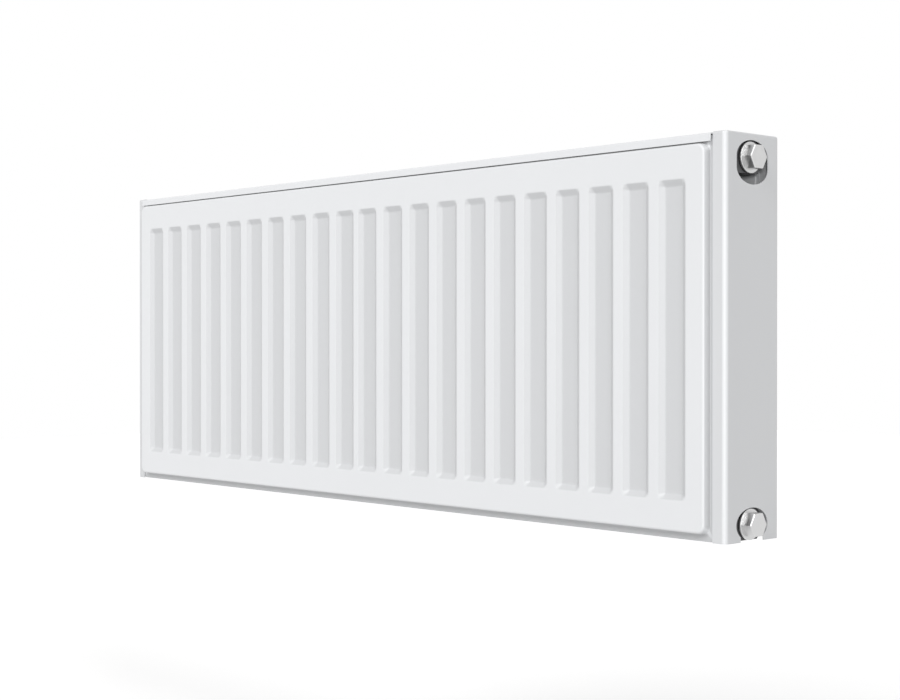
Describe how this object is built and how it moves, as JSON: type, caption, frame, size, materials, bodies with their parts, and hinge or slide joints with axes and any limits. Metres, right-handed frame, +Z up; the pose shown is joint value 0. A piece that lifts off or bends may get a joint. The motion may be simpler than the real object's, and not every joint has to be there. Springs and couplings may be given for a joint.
{
  "type": "steel panel radiator",
  "caption": "Low wall-hung steel radiator: two grooved water panels, convector fins between them, a slotted top grille, folded side covers and two blind plugs.",
  "frame": {"origin": "centre of the hanging slots, on the plane where the lugs meet the wall brackets", "axes": "+X along the radiator to its plugged end, +Y towards the wall, +Z up"},
  "size_m": [0.8062, 0.0848, 0.3],
  "materials": {
    "white_enamel": "semi-gloss white stoved enamel with a faint orange peel",
    "white_enamel_back": "thinner semi-gloss white enamel on the parts between and behind the panels",
    "connection_steel": "dark phosphated steel, satin",
    "nickel_plate": "satin nickel plate",
    "seal_rubber": "black rubber, matt",
    "spring_steel": "zinc-plated spring steel"
  },
  "bodies": {
    "root": {"bush_bottom_left": "connection_steel", "bush_bottom_right": "connection_steel", "bush_top_left": "connection_steel", "bush_top_right": "connection_steel", "convector_left": "white_enamel_back", "convector_middle": "white_enamel_back", "convector_right": "white_enamel_back", "front_panel_inner_sheet": "white_enamel_back", "front_panel_outer_sheet": "white_enamel", "grille_clip_1": "spring_steel", "grille_clip_2": "spring_steel", "grille_clip_3": "spring_steel", "lug_bottom_left": "white_enamel_back", "lug_bottom_right": "white_enamel_back", "lug_top_left": "white_enamel_back", "lug_top_right": "white_enamel_back", "neck_front_bottom_left": "connection_steel", "neck_front_bottom_right": "connection_steel", "neck_front_top_left": "connection_steel", "neck_front_top_right": "connection_steel", "neck_rear_bottom_left": "connection_steel", "neck_rear_bottom_right": "connection_steel", "neck_rear_top_left": "connection_steel", "neck_rear_top_right": "connection_steel", "rear_panel_inner_sheet": "white_enamel_back", "rear_panel_outer_sheet": "white_enamel"},
    "top_grille": {"top_grille": "white_enamel"},
    "left_cover": {"left_cover": "white_enamel", "left_cover_tab_high": "spring_steel", "left_cover_tab_low": "spring_steel"},
    "right_cover": {"right_cover": "white_enamel", "right_cover_tab_high": "spring_steel", "right_cover_tab_low": "spring_steel"},
    "seal_top": {"seal_top_right": "seal_rubber"},
    "plug_top": {"plug_top_right": "nickel_plate"},
    "seal_bottom": {"seal_bottom_right": "seal_rubber"},
    "plug_bottom": {"plug_bottom_right": "nickel_plate"}
  },
  "joints": [
    {"name": "grille_lift", "type": "slide", "parent": "root", "child": "top_grille", "axis": [0, 0, 1], "range_m": [0, 0.04]},
    {"name": "left_cover_pull", "type": "slide", "parent": "root", "child": "left_cover", "axis": [-1, 0, 0], "range_m": [0, 0.04]},
    {"name": "right_cover_pull", "type": "slide", "parent": "root", "child": "right_cover", "axis": [1, 0, 0], "range_m": [0, 0.04]},
    {"name": "plug_top_travel", "type": "slide", "parent": "root", "child": "seal_top", "axis": [1, 0, 0], "range_m": [0, 0.0109]},
    {"name": "plug_top_turn", "type": "hinge", "parent": "seal_top", "child": "plug_top", "pos_m": [0.3959, -0.0474, 0.1325], "axis": [1, 0, 0], "range_deg": [0, 2160]},
    {"name": "plug_bottom_travel", "type": "slide", "parent": "root", "child": "seal_bottom", "axis": [1, 0, 0], "range_m": [0, 0.0109]},
    {"name": "plug_bottom_turn", "type": "hinge", "parent": "seal_bottom", "child": "plug_bottom", "pos_m": [0.3959, -0.0474, -0.1375], "axis": [1, 0, 0], "range_deg": [0, 2160]}
  ],
  "couplings": [
    {"joint": "plug_top_travel", "follows": "plug_top_turn", "m_per_rad": 0.00028871},
    {"joint": "plug_bottom_travel", "follows": "plug_bottom_turn", "m_per_rad": 0.00028871}
  ]
}
